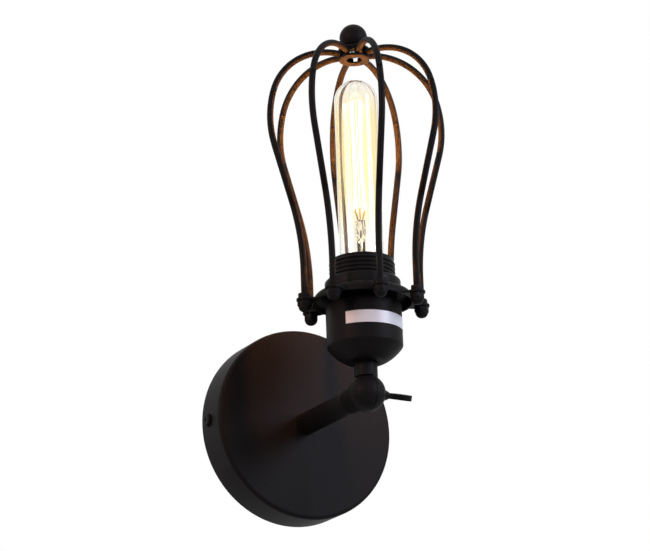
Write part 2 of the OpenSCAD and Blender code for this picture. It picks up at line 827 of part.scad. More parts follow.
module finial_ball() {
    color("#1f1b19") to_knuckle() difference() {
        translate([0, 0, finial_z]) sphere(d = finial_d);
        translate([0, 0, disc_top - finial_d]) cylinder(d = 2 * finial_d, h = finial_d);
        translate([0, 0, disc_top - over]) cylinder(r = screw_hole_r, h = finial_bore + over);
    }
}

// Bulb

// Solid form of the glass, drawn in all over by the inset
module glass_form(inset) {
    translate([0, 0, glass_bottom - inset])
        cylinder(r = glass_neck_r - inset, h = flare_start - glass_bottom + inset);
    translate([0, 0, flare_start]) cylinder(r1 = glass_neck_r - inset, r2 = glass_r - inset, h = flare_h);
    translate([0, 0, flare_start + flare_h]) rotate_extrude() intersection() {
        tube = dome_z - flare_start - flare_h;
        union() {
            square([glass_r - inset, tube]);
            translate([0, tube]) circle(r = glass_r - inset);
        }
        square([glass_r - inset, tube + glass_r]);
    }
}

module bulb_glass() {
    color("#d8e4ea", 0.35) to_knuckle() difference() {
        glass_form(0);
        glass_form(glass_wall);
    }
}

module bulb_cap() {
    color("#8a8a86") to_knuckle() translate([0, 0, cap_bottom]) difference() {
        cylinder(r = cap_r, h = bulb_cap_h);
        translate([0, 0, -over]) cylinder(r = cap_r - cap_wall, h = bulb_cap_h + 2 * over);
    }
}

module bulb_insulator() {
    color("#20201e") to_knuckle() translate([0, 0, contact_z + contact_h])
        cylinder(r1 = contact_r + 1, r2 = cap_r - cap_wall - seat_gap, h = insulator_h);
}

module bulb_contact() {
    color("silver") to_knuckle() translate([0, 0, contact_z]) cylinder(r = contact_r, h = contact_h);
}

module bulb_stem() {
    stem_low = glass_bottom + stem_lap;
    stem_plug_r = glass_neck_r - glass_wall - seat_gap;
    color("#d8e4ea", 0.35) to_knuckle() {
        translate([0, 0, stem_low]) cylinder(r = stem_plug_r, h = glass_wall);
        translate([0, 0, stem_low + glass_wall]) cylinder(r1 = stem_plug_r, r2 = stem_r, h = stem_plug_r);
        translate([0, 0, stem_low + glass_wall + stem_plug_r])
            cylinder(r = stem_r, h = bead_top - bead_h - stem_low - glass_wall - stem_plug_r);
        translate([0, 0, bead_top - bead_h]) cylinder(r = bead_r, h = bead_h);
    }
}

// One wire up the middle, and one to each side of the filament's lower end
module support_wires() {
    spread = atan((filament_cage_d / 2 - support_stand) / bead_drop);
    color("silver") to_knuckle() translate([0, 0, bead_top]) {
        cylinder(r = support_r, h = filament_top - bead_top - strand_d);
        for (side = [0, 180]) rotate([0, 0, side]) translate([support_stand, 0, support_r * sin(spread)])
            rotate([0, spread, 0]) cylinder(r = support_r, h = bead_drop / cos(spread) - strand_d);
    }
}

module filament() {
    ring_r = filament_cage_d / 2;
    strand_r = strand_d / 2;
    color("orange") to_knuckle() {
        for (level = [filament_bottom, filament_top]) translate([0, 0, level])
            rotate_extrude() translate([ring_r, 0]) circle(r = strand_r);
        for (i = [0 : strand_count - 1]) rotate([0, 0, i * 360 / strand_count])
            translate([ring_r, 0, filament_bottom]) cylinder(r = strand_r * strand_thinning, h = filament_h);
    }
}

wall_plate();
mounting_bar();
side_screws();
earth_screw();
terminal_block();
terminal_screws();
arm_tube();
arm_washer();
arm_lock_nut();
arm_leads();
knuckle_base();
knuckle_cap();
thumb_screw();
knuckle_tongue();
neck_nipple();
neck_nut();
neck_leads();
socket_cup();
holder_base();
centre_contact();
screw_shell();
holder_screws();
holder_barrel();
shade_ring();
cage_base();
cage_wire(1);  // cage_wire_1
cage_wire(2);  // cage_wire_2
cage_wire(3);  // cage_wire_3
cage_wire(4);  // cage_wire_4
cage_wire(5);  // cage_wire_5
cage_wire(6);  // cage_wire_6
cage_wire(7);  // cage_wire_7
cage_wire(8);  // cage_wire_8
cage_hex_nuts();
cage_dome_nuts();
crown_ring();
crown_disc();
finial_screw();
finial_ball();
bulb_glass();
bulb_cap();
bulb_insulator();
bulb_contact();
bulb_stem();
support_wires();
filament();
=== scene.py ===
"""Looks of the cage wall light: finishes, threads, label, filament, studio and camera."""

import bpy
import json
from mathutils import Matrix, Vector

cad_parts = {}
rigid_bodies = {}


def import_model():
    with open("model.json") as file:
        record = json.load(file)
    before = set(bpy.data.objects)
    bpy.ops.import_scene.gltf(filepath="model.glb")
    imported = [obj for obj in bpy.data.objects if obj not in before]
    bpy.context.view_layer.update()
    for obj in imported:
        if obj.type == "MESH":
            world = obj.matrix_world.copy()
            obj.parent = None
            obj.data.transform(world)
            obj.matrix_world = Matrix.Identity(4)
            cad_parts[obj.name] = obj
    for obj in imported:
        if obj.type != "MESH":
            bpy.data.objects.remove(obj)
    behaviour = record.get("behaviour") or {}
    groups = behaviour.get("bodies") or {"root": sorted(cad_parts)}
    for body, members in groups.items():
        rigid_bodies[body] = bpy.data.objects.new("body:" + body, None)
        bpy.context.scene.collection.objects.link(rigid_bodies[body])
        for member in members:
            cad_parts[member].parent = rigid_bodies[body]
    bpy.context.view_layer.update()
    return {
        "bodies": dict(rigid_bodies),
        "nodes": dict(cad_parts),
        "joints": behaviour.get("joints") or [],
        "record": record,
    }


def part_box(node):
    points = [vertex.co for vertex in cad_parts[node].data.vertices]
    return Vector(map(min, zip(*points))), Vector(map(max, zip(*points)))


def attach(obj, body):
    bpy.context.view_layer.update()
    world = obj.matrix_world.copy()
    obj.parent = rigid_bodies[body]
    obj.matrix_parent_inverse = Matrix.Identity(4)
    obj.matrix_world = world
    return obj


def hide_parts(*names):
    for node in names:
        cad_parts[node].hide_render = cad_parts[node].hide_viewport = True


bl_info = {
    "name": "Cage Wall Light",
    "version": (1, 0, 0),
    "blender": (4, 5, 0),
    "location": "View3D > Sidebar > Wall Light",
    "description": "Dresses the packed wall light and sets up its studio",
    "category": "Object",
}

import json
import math

import bmesh
import bpy
from mathutils import Matrix, Vector

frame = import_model()
NODES = frame["nodes"]
KNUCKLE = Vector(frame["joints"][0]["pos_m"])

MM = 0.001
PHOTO_WIDTH = 650
SENSOR_MM = 36.0


# Small tools


def linear(hex_colour):
    """An sRGB hex colour as linear RGBA."""
    channels = [int(hex_colour[i : i + 2], 16) / 255 for i in (1, 3, 5)]
    return [c / 12.92 if c <= 0.04045 else ((c + 0.055) / 1.055) ** 2.4 for c in channels] + [1.0]


def add(tree, kind, inputs=None, **settings):
    """Adds a node, with its settings, and sets or links its inputs by name or index."""
    node = tree.nodes.new(kind)
    for name, value in settings.items():
        setattr(node, name, value)
    for key, value in (inputs or {}).items():
        if isinstance(value, bpy.types.NodeSocket):
            tree.links.new(value, node.inputs[key])
        else:
            node.inputs[key].default_value = value
    return node


def box_size(node):
    """Width, depth and height of a CAD node."""
    low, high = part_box(node)
    return high - low


def link_object(name, mesh):
    obj = bpy.data.objects.new(name, mesh)
    bpy.context.scene.collection.objects.link(obj)
    return obj


def object_from(name, bm):
    """Turns a finished bmesh into a linked object."""
    mesh = bpy.data.meshes.new(name)
    bm.to_mesh(mesh)
    bm.free()
    return link_object(name, mesh)


def finish_piece(obj, body, material):
    """Gives a finished mesh its material and its body."""
    obj.data.materials.clear()
    obj.data.materials.append(material)
    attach(obj, body)


def bake_modifiers(obj):
    """Turns an object's modifiers into its plain mesh."""
    depsgraph = bpy.context.evaluated_depsgraph_get()
    mesh = bpy.data.meshes.new_from_object(obj.evaluated_get(depsgraph))
    obj.modifiers.clear()
    obj.data = mesh


def smooth_by_angle(mesh, degrees):
    """Smooths every face and keeps the edges over an angle sharp."""
    for face in mesh.polygons:
        face.use_smooth = True
    mesh.set_sharp_from_angle(angle=math.radians(degrees))


def body_of_node(node):
    """The moving body that the record puts a CAD node on."""
    for body, members in frame["record"]["behaviour"]["bodies"].items():
        if node in members:
            return body
    raise RuntimeError(f"no body holds {node}")


def slot_of_node(node):
    """The material slot that the record gives a CAD node."""
    for part in frame["record"]["subparts"]:
        if part["node"] == node:
            return part["material_slot"]
    raise RuntimeError(f"no slot for {node}")


# Materials


def new_material(name):
    material = bpy.data.materials.new(name)
    material.use_nodes = True
    material.node_tree.nodes.clear()
    return material, material.node_tree


def object_coordinates(tree):
    return add(tree, "ShaderNodeTexCoord").outputs["Object"]


def output(tree, shader):
    add(tree, "ShaderNodeOutputMaterial", {"Surface": shader})


def maths(tree, operation, *values):
    """The result of a maths node."""
    return add(tree, "ShaderNodeMath", dict(enumerate(values)), operation=operation).outputs[0]


def noise(tree, vector, size_mm, detail):
    """Noise whose features are about this many millimetres wide."""
    inputs = {"Vector": vector, "Scale": 1 / (size_mm * MM), "Detail": detail}
    return add(tree, "ShaderNodeTexNoise", inputs).outputs["Fac"]


def mixed_colour(tree, factor, first, second):
    """A colour that goes from one hex colour to another with the factor."""
    inputs = {"Factor": factor, 6: linear(first), 7: linear(second)}
    return add(tree, "ShaderNodeMix", inputs, data_type="RGBA").outputs[2]


def ranged(tree, factor, low, high):
    """A factor from 0 to 1, stretched onto a range."""
    inputs = {"Value": factor, "To Min": low, "To Max": high}
    return add(tree, "ShaderNodeMapRange", inputs).outputs["Result"]


def bumps(tree, height, strength, depth_mm):
    """The normal of a surface with bumps this deep."""
    inputs = {"Strength": strength, "Distance": depth_mm * MM, "Height": height}
    return add(tree, "ShaderNodeBump", inputs).outputs["Normal"]


def principled(material, inputs):
    """Gives a material its principled surface."""
    shader = add(material.node_tree, "ShaderNodeBsdfPrincipled", inputs)
    output(material.node_tree, shader.outputs["BSDF"])
    return material


def seen_rays(tree):
    """1 for rays that show a thing to the eye, through glass or in a reflection, 0 for those that light."""
    path = add(tree, "ShaderNodeLightPath").outputs
    through = maths(tree, "MAXIMUM", path["Is Camera Ray"], path["Is Transmission Ray"])
    return maths(tree, "MAXIMUM", through, path["Is Glossy Ray"])


# How far a powder coat's roughness wavers, and by what shares a metal's or a wire's value does
SPECKLE = 0.035
LESS, MORE = 0.7, 1.3
# How far below and above the filament's ends the painted glow of its light lies on the glass: where the
# painted glow starts and is full
GLOW_PAINT_BELOW, GLOW_PAINT_IN_LOW = 25 * MM, 15 * MM
GLOW_PAINT_ABOVE, GLOW_PAINT_IN_HIGH = 12 * MM, 12 * MM
# Ripples in drawn glass are longer along the tube, by the inverse of this
RIPPLE_STRETCH = 0.15


def powder_coat(name, base, warm, grain_mm, roughness, specular=0.06):
    """Baked powder coat on steel: satin black with a fine orange peel, which softens every highlight."""
    material, tree = new_material(name)
    where = object_coordinates(tree)
    broad = noise(tree, where, size_mm=38, detail=3.0)
    fine = noise(tree, where, grain_mm, detail=2.0)
    return principled(
        material,
        {
            "Base Color": mixed_colour(tree, broad, base, warm),
            "Roughness": ranged(tree, fine, roughness - SPECKLE, roughness + SPECKLE),
            "Specular IOR Level": specular,
            "Normal": bumps(tree, fine, strength=0.16, depth_mm=0.06),
        },
    )


def plated_metal(name, base, dark, roughness):
    """Plated or drawn metal: bright, with faint drawing streaks and dull patches from handling."""
    material, tree = new_material(name)
    where = object_coordinates(tree)
    streaks = noise(tree, where, size_mm=0.3, detail=3.0)
    patches = noise(tree, where, size_mm=4, detail=2.0)
    return principled(
        material,
        {
            "Base Color": mixed_colour(tree, patches, base, dark),
            "Metallic": 1.0,
            "Roughness": ranged(tree, patches, roughness * LESS, roughness * MORE),
            "Normal": bumps(tree, streaks, strength=0.1, depth_mm=0.02),
        },
    )


def moulded(name, base, other, roughness, grain_mm):
    """Moulded plastic, sleeve, steatite or vinyl: one colour with slight clouds and a fine skin."""
    material, tree = new_material(name)
    where = object_coordinates(tree)
    clouds = noise(tree, where, size_mm=6, detail=3.0)
    grain = noise(tree, where, grain_mm, detail=2.0)
    return principled(
        material,
        {
            "Base Color": mixed_colour(tree, clouds, base, other),
            "Roughness": roughness,
            "Normal": bumps(tree, grain, strength=0.12, depth_mm=0.03),
        },
    )


def painted_glow_mask(tree, height):
    """Mask of the painted glow of the filament's light on the glass: 1 beside the filament, fading to 0
    past its two ends.
    """
    low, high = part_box("filament")
    fades = []
    for start, full in (
        (low.z - GLOW_PAINT_BELOW, low.z + GLOW_PAINT_IN_LOW),
        (high.z + GLOW_PAINT_ABOVE, high.z - GLOW_PAINT_IN_HIGH),
    ):
        inputs = {"Value": height, "From Min": start, "From Max": full}
        fade = add(tree, "ShaderNodeMapRange", inputs, interpolation_type="SMOOTHSTEP")
        fades.append(fade.outputs["Result"])
    return maths(tree, "MULTIPLY", *fades)


def bulb_glass_material(settings):
    """Clear soda-lime glass, drawn as tube, with faint ripples; beside the filament a warm tint and a glow
    are painted into it, as painted light of the filament.
    """
    material, tree = new_material("soda_lime_glass")
    where = object_coordinates(tree)
    stretch = {"Vector": where, "Scale": (1.0, 1.0, RIPPLE_STRETCH)}
    stretched = add(tree, "ShaderNodeMapping", stretch).outputs[0]
    ripples = noise(tree, stretched, size_mm=9, detail=1.0)
    beside = painted_glow_mask(tree, add(tree, "ShaderNodeSeparateXYZ", {"Vector": where}).outputs["Z"])
    glass = add(
        tree,
        "ShaderNodeBsdfPrincipled",
        {
            # The warm tint beside the filament is painted light: it stands for the filament's light in the
            # clear glass
            "Base Color": mixed_colour(tree, beside, "#fdfbf6", settings.painted_glow_tint_hex),
            "Roughness": 0.0,
            "IOR": 1.5,
            "Transmission Weight": 1.0,
            "Normal": bumps(tree, ripples, strength=0.25, depth_mm=0.15),
        },
    )
    # Painted glow: the glass emits light beside the filament, though it is no lamp
    strength = maths(tree, "MULTIPLY", beside, settings.painted_glass_glow)
    glow = add(tree, "ShaderNodeEmission", {"Color": linear("#ffd9a0"), "Strength": strength})
    both = add(tree, "ShaderNodeAddShader", {0: glass.outputs["BSDF"], 1: glow.outputs["Emission"]})
    # Light passes straight through, so that the bulb throws no dark shadow
    clear = add(tree, "ShaderNodeBsdfTransparent", {"Color": linear("#f4f4f2")})
    shadow = add(tree, "ShaderNodeLightPath").outputs["Is Shadow Ray"]
    mix = add(tree, "ShaderNodeMixShader", {0: shadow, 1: both.outputs[0], 2: clear.outputs[0]})
    output(tree, mix.outputs[0])
    return material


def glowing_wire(name, colour, strength):
    """Incandescent wire: so bright that its middle burns out, a little uneven along its length."""
    material, tree = new_material(name)
    uneven = noise(tree, object_coordinates(tree), size_mm=3, detail=2.0)
    power = ranged(tree, uneven, strength * LESS, strength * MORE)
    shader = add(tree, "ShaderNodeEmission", {"Color": linear(colour), "Strength": power})
    output(tree, shader.outputs[0])
    return material


def make_materials(settings):
    """Every finish of the light, by the record's slot and by special use."""
    return {
        "black_steel": powder_coat("black_powder_coat", settings.coat_hex, "#171414", 0.55, 0.5),
        "black_holder": powder_coat("black_holder_enamel", "#111011", "#151213", 0.8, 0.42, specular=0.08),
        "zinc_steel": plated_metal("bright_zinc_plate", "#c9cac8", "#a9aaa6", 0.3),
        "brass": plated_metal("drawn_brass", "#c9a455", "#b08a3f", 0.32),
        "terminal_plastic": moulded("polyamide_block", "#e6e3da", "#dcd8cd", 0.45, 0.4),
        "holder_ceramic": moulded("steatite_ceramic", "#e4dfd3", "#d6cfc0", 0.6, 0.25),
        "lead_sleeve": moulded("glass_fibre_sleeve", "#5a3a28", "#6e4a33", 0.7, 0.3),
        "clear_glass": bulb_glass_material(settings),
        "nickel_cap": plated_metal("nickel_plate", "#b9b6ae", "#98948b", 0.28),
        "cap_glass": moulded("vitrite_glass", "#15130f", "#1d1a15", 0.2, 0.5),
        "support_metal": plated_metal("molybdenum_wire", "#c4a468", "#a5854c", 0.35),
        "filament_metal": glowing_wire("glowing_filament", settings.glow_hex, settings.glow_strength),
        "label": moulded("vinyl_label", "#e6e4e8", "#dcd9de", 0.35, 0.8),
    }


# Filled by the coat operator, which runs first
MATERIALS = {}


# Pieces


# Rounded edge given to each kind of node, in millimetres; the rest keep their edges sharp
EDGE_MM = {
    "wall_plate": 0.0,
    "arm_tube": 0.3,
    "knuckle_base": 0.25,
    "knuckle_cap": 0.25,
    "knuckle_tongue": 0.25,
    "thumb_screw": 0.45,
    "socket_cup": 0.35,
    "holder_barrel": 0.4,
    "shade_ring": 0.3,
    "cage_base": 0.3,
    "cage_hex_nuts": 0.25,
    "cage_dome_nuts": 0.25,
    "crown_ring": 0.3,
    "crown_disc": 0.3,
    "mounting_bar": 0.2,
    "terminal_block": 0.3,
    "side_screws": 0.2,
}
SHARP_DEGREES = 32
WELD_MM = 0.002
WIRES = sorted(node for node in NODES if node.startswith("cage_wire_"))
NUTS = ("cage_hex_nuts", "cage_dome_nuts")
# Pieces that other operators make in full
MADE_APART = {"filament", "side_screws", "finial_screw", *WIRES, *NUTS}


def welded_copy(node):
    """A copy of a CAD node's mesh, with its loose triangles joined."""
    mesh = NODES[node].data.copy()
    bm = bmesh.new()
    bm.from_mesh(mesh)
    bmesh.ops.remove_doubles(bm, verts=bm.verts, dist=WELD_MM * MM)
    bmesh.ops.dissolve_degenerate(bm, edges=bm.edges, dist=WELD_MM * MM)
    bm.to_mesh(mesh)
    bm.free()
    return mesh


def round_edges(obj, width_mm):
    """Smooths a piece and rounds its sharp edges a little, so that they catch the light."""
    smooth_by_angle(obj.data, SHARP_DEGREES)
    if width_mm:
        bevel = obj.modifiers.new("edge", "BEVEL")
        bevel.width = width_mm * MM
        bevel.segments = 2
        bevel.limit_method = "ANGLE"
        bevel.angle_limit = math.radians(SHARP_DEGREES)
        bevel.use_clamp_overlap = True
        bake_modifiers(obj)
        smooth_by_angle(obj.data, SHARP_DEGREES)


def dress_node(node, material):
    """A welded, softened copy of a CAD node stands for it."""
    obj = link_object(node + "_shell", welded_copy(node))
    round_edges(obj, EDGE_MM.get(node, 0.0))
    finish_piece(obj, body_of_node(node), material)
    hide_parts(node)


def colour_setting(name, description, default):
    text = f"{description}, as sRGB hex"
    return bpy.props.StringProperty(name=name, description=text, default=default)


def strength_setting(name, description, default):
    return bpy.props.FloatProperty(name=name, description=description, default=default, min=0.0)


def length_setting(name, description, default):
    return bpy.props.FloatProperty(name=name, description=description, default=default, unit="LENGTH")


def angle_setting(name, description, degrees):
    return bpy.props.FloatProperty(
        name=name, description=description, default=math.radians(degrees), subtype="ANGLE"
    )


class LightSettings(bpy.types.PropertyGroup):
    """Sizes and colours of the light that a user would change."""

    coat_hex: colour_setting("Coat", "Colour of the black powder coat", "#121113")
    glow_hex: colour_setting("Glow", "Colour of the filament's light", "#fff0d4")
    glow_strength: strength_setting("Glow strength", "Strength of the filament's light", 4.5)
    # The tint and glow of the glass beside the filament are painted light of the filament
    painted_glow_tint_hex: colour_setting("Warm glass", "Tint of the glass beside the filament", "#fdf3d2")
    painted_glass_glow: strength_setting("Glass glow", "Strength of the warm glow in the bulb's wall", 0.01)
    thread_pitch: length_setting("Thread pitch", "Pitch of the holder's thread", 2.6 * MM)
    thread_d: length_setting("Thread core", "Diameter of the thread at its root", 38.8 * MM)
    thread_depth: length_setting("Thread depth", "Height of the thread's crest", 0.7 * MM)
    label_height: length_setting("Label height", "Height of the bare label on the cup", 7.7 * MM)
    label_low: length_setting(
        "Label place", "Height of the label's lower edge above the knuckle", 37.6 * MM
    )
    label_start: angle_setting("Label start", "Direction of the label's left end round the cup", -148)
    label_end: angle_setting("Label end", "Direction of the label's right end round the cup", -22)


class WALLLIGHT_OT_coat(bpy.types.Operator):
    """Dress every CAD node in its real finish"""

    bl_idname = "walllight.coat"
    bl_label = "Coat the parts"

    def execute(self, context):
        MATERIALS.update(make_materials(context.scene.wall_light))
        for node in sorted(NODES):
            if node not in MADE_APART:
                dress_node(node, MATERIALS[slot_of_node(node)])
        return {"FINISHED"}


def band(name, profile, start, end, steps, centre):
    """A closed strip: a closed profile of (radius, height) points swept round the head's axis."""
    bm = bmesh.new()
    rings = []
    for i in range(steps + 1):
        angle = start + (end - start) * i / steps
        around = Vector((math.cos(angle), math.sin(angle), 0.0))
        rings.append([bm.verts.new(centre + r * around + Vector((0.0, 0.0, z))) for r, z in profile])
    for a, b in zip(rings, rings[1:]):
        for j in range(len(profile)):
            k = (j + 1) % len(profile)
            bm.faces.new((a[j], b[j], b[k], a[k]))
    bm.faces.new(rings[0])
    bm.faces.new(reversed(rings[-1]))
    bmesh.ops.recalc_face_normals(bm, faces=bm.faces)
    return object_from(name, bm)


def new_tree(name, sizes):
    """A Geometry Nodes tree, what its input node gives, and the key of its finish input."""
    tree = bpy.data.node_groups.new(name, "GeometryNodeTree")
    tree.interface.new_socket("Geometry", in_out="INPUT", socket_type="NodeSocketGeometry")
    for label, value in sizes.items():
        kind = "NodeSocketInt" if isinstance(value, int) else "NodeSocketFloat"
        socket = tree.interface.new_socket(label, in_out="INPUT", socket_type=kind)
        socket.default_value = value
    finish = tree.interface.new_socket("Finish", in_out="INPUT", socket_type="NodeSocketMaterial")
    tree.interface.new_socket("Geometry", in_out="OUTPUT", socket_type="NodeSocketGeometry")
    return tree, add(tree, "NodeGroupInput").outputs, finish.identifier


def end_tree(tree, given, geometry, place):
    """Moves the geometry to its place, gives it its finish and puts it out."""
    placed = add(tree, "GeometryNodeTransform", {"Geometry": geometry, "Translation": place})
    inputs = {"Geometry": placed.outputs[0], "Material": given["Finish"]}
    finished = add(tree, "GeometryNodeSetMaterial", inputs)
    add(tree, "NodeGroupOutput", {"Geometry": finished.outputs[0]})


def run_tree(obj, tree, finish, material):
    """Runs a node tree on an object, whose plain mesh is then what the tree makes."""
    modifier = obj.modifiers.new(tree.name, "NODES")
    modifier.node_group = tree
    modifier[finish] = material
    bake_modifiers(obj)


def copies_round_axis(tree, geometry, count):
    """Copies of one piece, evenly round the upright axis."""
    places = add(tree, "GeometryNodeMeshLine", {"Count": count, "Offset": (0.0, 0.0, 0.0)})
    index = add(tree, "GeometryNodeInputIndex").outputs[0]
    turn = maths(tree, "MULTIPLY", index, maths(tree, "DIVIDE", 2 * math.pi, count))
    about = add(tree, "ShaderNodeCombineXYZ", {"Z": turn})
    copies = add(
        tree,
        "GeometryNodeInstanceOnPoints",
        {"Points": places.outputs[0], "Instance": geometry, "Rotation": about.outputs[0]},
    )
    return add(tree, "GeometryNodeRealizeInstances", {"Geometry": copies.outputs[0]}).outputs[0]


def round_rod(tree, path, radius, sides):
    """A smooth round rod along a path, with closed ends."""
    section = add(tree, "GeometryNodeCurvePrimitiveCircle", {"Resolution": sides, "Radius": radius})
    inputs = {"Curve": path, "Profile Curve": section.outputs[0], "Fill Caps": True}
    rod = add(tree, "GeometryNodeCurveToMesh", inputs)
    return add(tree, "GeometryNodeSetShadeSmooth", {"Geometry": rod.outputs[0]}).outputs[0]


def round_the_head_tree(count):
    """Geometry Nodes: copies of one piece, evenly round the head's axis."""
    tree, given, finish = new_tree("round_the_head", {"Count": count})
    inputs = {"Geometry": given["Geometry"], "Translation": -KNUCKLE}
    centred = add(tree, "GeometryNodeTransform", inputs)
    end_tree(tree, given, copies_round_axis(tree, centred.outputs[0], given["Count"]), KNUCKLE)
    return tree, finish


def keep_island(mesh, direction):
    """Keeps only the loose part of a mesh that lies furthest in one direction from the head's axis."""
    bm = bmesh.new()
    bm.from_mesh(mesh)
    left = set(bm.verts)
    islands = []
    while left:
        island = set()
        edge_of_search = [left.pop()]
        while edge_of_search:
            vert = edge_of_search.pop()
            island.add(vert)
            for edge in vert.link_edges:
                other = edge.other_vert(vert)
                if other in left:
                    left.remove(other)
                    edge_of_search.append(other)
        islands.append(island)

    def reach(island):
        return sum((v.co - KNUCKLE).dot(direction) for v in island) / len(island)

    best = max(islands, key=reach)
    bmesh.ops.delete(bm, geom=[v for v in bm.verts if v not in best], context="VERTS")
    bm.to_mesh(mesh)
    bm.free()


def repeat_round_head(obj, nodes):
    """Turns one piece into a full ring of them, which stands for the given nodes."""
    material = MATERIALS[slot_of_node(nodes[0])]
    run_tree(obj, *round_the_head_tree(len(WIRES)), material)
    finish_piece(obj, "head", material)
    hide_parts(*nodes)


class WALLLIGHT_OT_cage(bpy.types.Operator):
    """Set the eight cage wires with their nuts round the head"""

    bl_idname = "walllight.cage"
    bl_label = "Set the cage"

    def execute(self, context):
        wire = link_object("cage_wires", welded_copy(WIRES[0]))
        round_edges(wire, 0.0)
        repeat_round_head(wire, WIRES)
        low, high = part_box(WIRES[0])
        direction = (low + high) / 2 - KNUCKLE
        direction.z = 0
        for node in NUTS:
            nut = link_object(node + "_ring", welded_copy(node))
            keep_island(nut.data, direction.normalized())
            round_edges(nut, EDGE_MM[node])
            repeat_round_head(nut, [node])
        return {"FINISHED"}


SCREW_EDGE_MM = 0.12
# A screw's cross recess: its arms, its depth and the share of its width that is left at its floor
CROSS_WIDTH = 1.1 * MM
CROSS_LENGTH = 4.6 * MM
CROSS_DEPTH = 1.1 * MM
CROSS_TAPER = 0.55


def cross_cutter(centre, axis):
    """A cross-shaped punch that sinks into a screw's head along an axis."""
    bm = bmesh.new()
    turn = axis.to_track_quat("Z", "Y").to_matrix()
    for width, length in ((CROSS_WIDTH, CROSS_LENGTH), (CROSS_LENGTH, CROSS_WIDTH)):
        place = Matrix.Translation(centre) @ turn.to_4x4()
        for vert in bmesh.ops.create_cube(bm, size=1.0, matrix=place)["verts"]:
            local = turn.transposed() @ (vert.co - centre)
            taper = CROSS_TAPER if local.z < 0 else 1.0
            point = (local.x * width * taper, local.y * length * taper, local.z * CROSS_DEPTH * 2)
            vert.co = centre + turn @ Vector(point)
    return object_from("cross_punch", bm)


def punch_crosses(obj, places):
    """Punches a cross recess into each screw head."""
    for centre, axis in places:
        cutter = cross_cutter(centre, axis)
        cut = obj.modifiers.new("cross", "BOOLEAN")
        cut.operation = "DIFFERENCE"
        cut.solver = "EXACT"
        cut.use_self = True
        cut.object = cutter
        bake_modifiers(obj)
        bpy.data.objects.remove(cutter)


class WALLLIGHT_OT_screws(bpy.types.Operator):
    """Fit the two side screws and the finial's screw, with their cross recesses"""

    bl_idname = "walllight.screws"
    bl_label = "Fit the cross screws"

    def execute(self, context):
        low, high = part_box("side_screws")
        middle = (low + high) / 2
        sides = [
            (Vector((side_x, middle.y, middle.z)), Vector((sign, 0.0, 0.0)))
            for side_x, sign in ((low.x, -1.0), (high.x, 1.0))
        ]
        low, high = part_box("finial_screw")
        middle = (low + high) / 2
        under = [(Vector((middle.x, middle.y, low.z)), Vector((0.0, 0.0, -1.0)))]
        for node, places in (("side_screws", sides), ("finial_screw", under)):
            screw = link_object(node + "_crossed", welded_copy(node))
            punch_crosses(screw, places)
            round_edges(screw, SCREW_EDGE_MM)
            finish_piece(screw, body_of_node(node), MATERIALS[slot_of_node(node)])
            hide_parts(node)
        return {"FINISHED"}


# How far the label's back and face stand off the cup, and how far its long edges slope
LABEL_BACK = 0.01 * MM
LABEL_FACE = 0.14 * MM
LABEL_SLOPE = 0.05 * MM
LABEL_STEPS = 90


class WALLLIGHT_OT_label(bpy.types.Operator):
    """Lay the bare white label round the socket cup"""

    bl_idname = "walllight.label"
    bl_label = "Lay the label"

    def execute(self, context):
        settings = context.scene.wall_light
        cup_r = box_size("socket_cup").x / 2
        inner = cup_r + LABEL_BACK
        outer = cup_r + LABEL_FACE
        low = settings.label_low
        high = low + settings.label_height
        profile = [(inner, low), (outer, low + LABEL_SLOPE), (outer, high - LABEL_SLOPE), (inner, high)]
        ends = (settings.label_start, settings.label_end)
        label = band("cup_label", profile, *ends, LABEL_STEPS, KNUCKLE)
        smooth_by_angle(label.data, SHARP_DEGREES)
        finish_piece(label, "head", MATERIALS["label"])
        return {"FINISHED"}


# Radius of the thread's crest as a share of its pitch, and how finely the thread is made
CREST_SHARE = 0.34
CREST_SIDES = 14
STEPS_A_TURN = 96
# Turns of the thread that run down into the shade ring, and the plain rim left above it
HIDDEN_TURNS = 0.5
PLAIN_RIM = 0.4 * MM


def thread_tree(core_r, pitch, low, high):
    """Geometry Nodes: a helix of the thread's path, swept with a round crest."""
    sizes = {"Core radius": core_r, "Pitch": pitch, "Rise": high - low}
    tree, given, finish = new_tree("holder_thread", sizes)
    helix = add(
        tree,
        "GeometryNodeCurveSpiral",
        {
            "Resolution": STEPS_A_TURN,
            "Rotations": maths(tree, "DIVIDE", given["Rise"], given["Pitch"]),
            "Start Radius": given["Core radius"],
            "End Radius": given["Core radius"],
            "Height": given["Rise"],
        },
    )
    crest_r = maths(tree, "MULTIPLY", given["Pitch"], CREST_SHARE)
    ridge = round_rod(tree, helix.outputs[0], crest_r, CREST_SIDES)
    end_tree(tree, given, ridge, KNUCKLE + Vector((0, 0, low)))
    return tree, finish


class WALLLIGHT_OT_thread(bpy.types.Operator):
    """Cut the coarse outside thread of the lamp holder"""

    bl_idname = "walllight.thread"
    bl_label = "Cut the thread"

    def execute(self, context):
        settings = context.scene.wall_light
        ring_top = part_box("shade_ring")[1].z - KNUCKLE.z
        barrel_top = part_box("holder_barrel")[1].z - KNUCKLE.z
        crest_r = settings.thread_pitch * CREST_SHARE
        core_r = settings.thread_d / 2 + settings.thread_depth - crest_r
        low = ring_top - HIDDEN_TURNS * settings.thread_pitch
        high = barrel_top - crest_r - PLAIN_RIM
        thread = link_object("holder_thread", bpy.data.meshes.new("holder_thread"))
        tree, finish = thread_tree(core_r, settings.thread_pitch, low, high)
        run_tree(thread, tree, finish, MATERIALS["black_holder"])
        finish_piece(thread, "head", MATERIALS["black_holder"])
        return {"FINISHED"}


STRANDS = 12
STRAND_R = 0.35 * MM
# How far a strand's middle bows inwards, as a share of the strands' ring
STRAND_BOW = 0.25
STRAND_POINTS = 40
STRAND_SIDES = 8


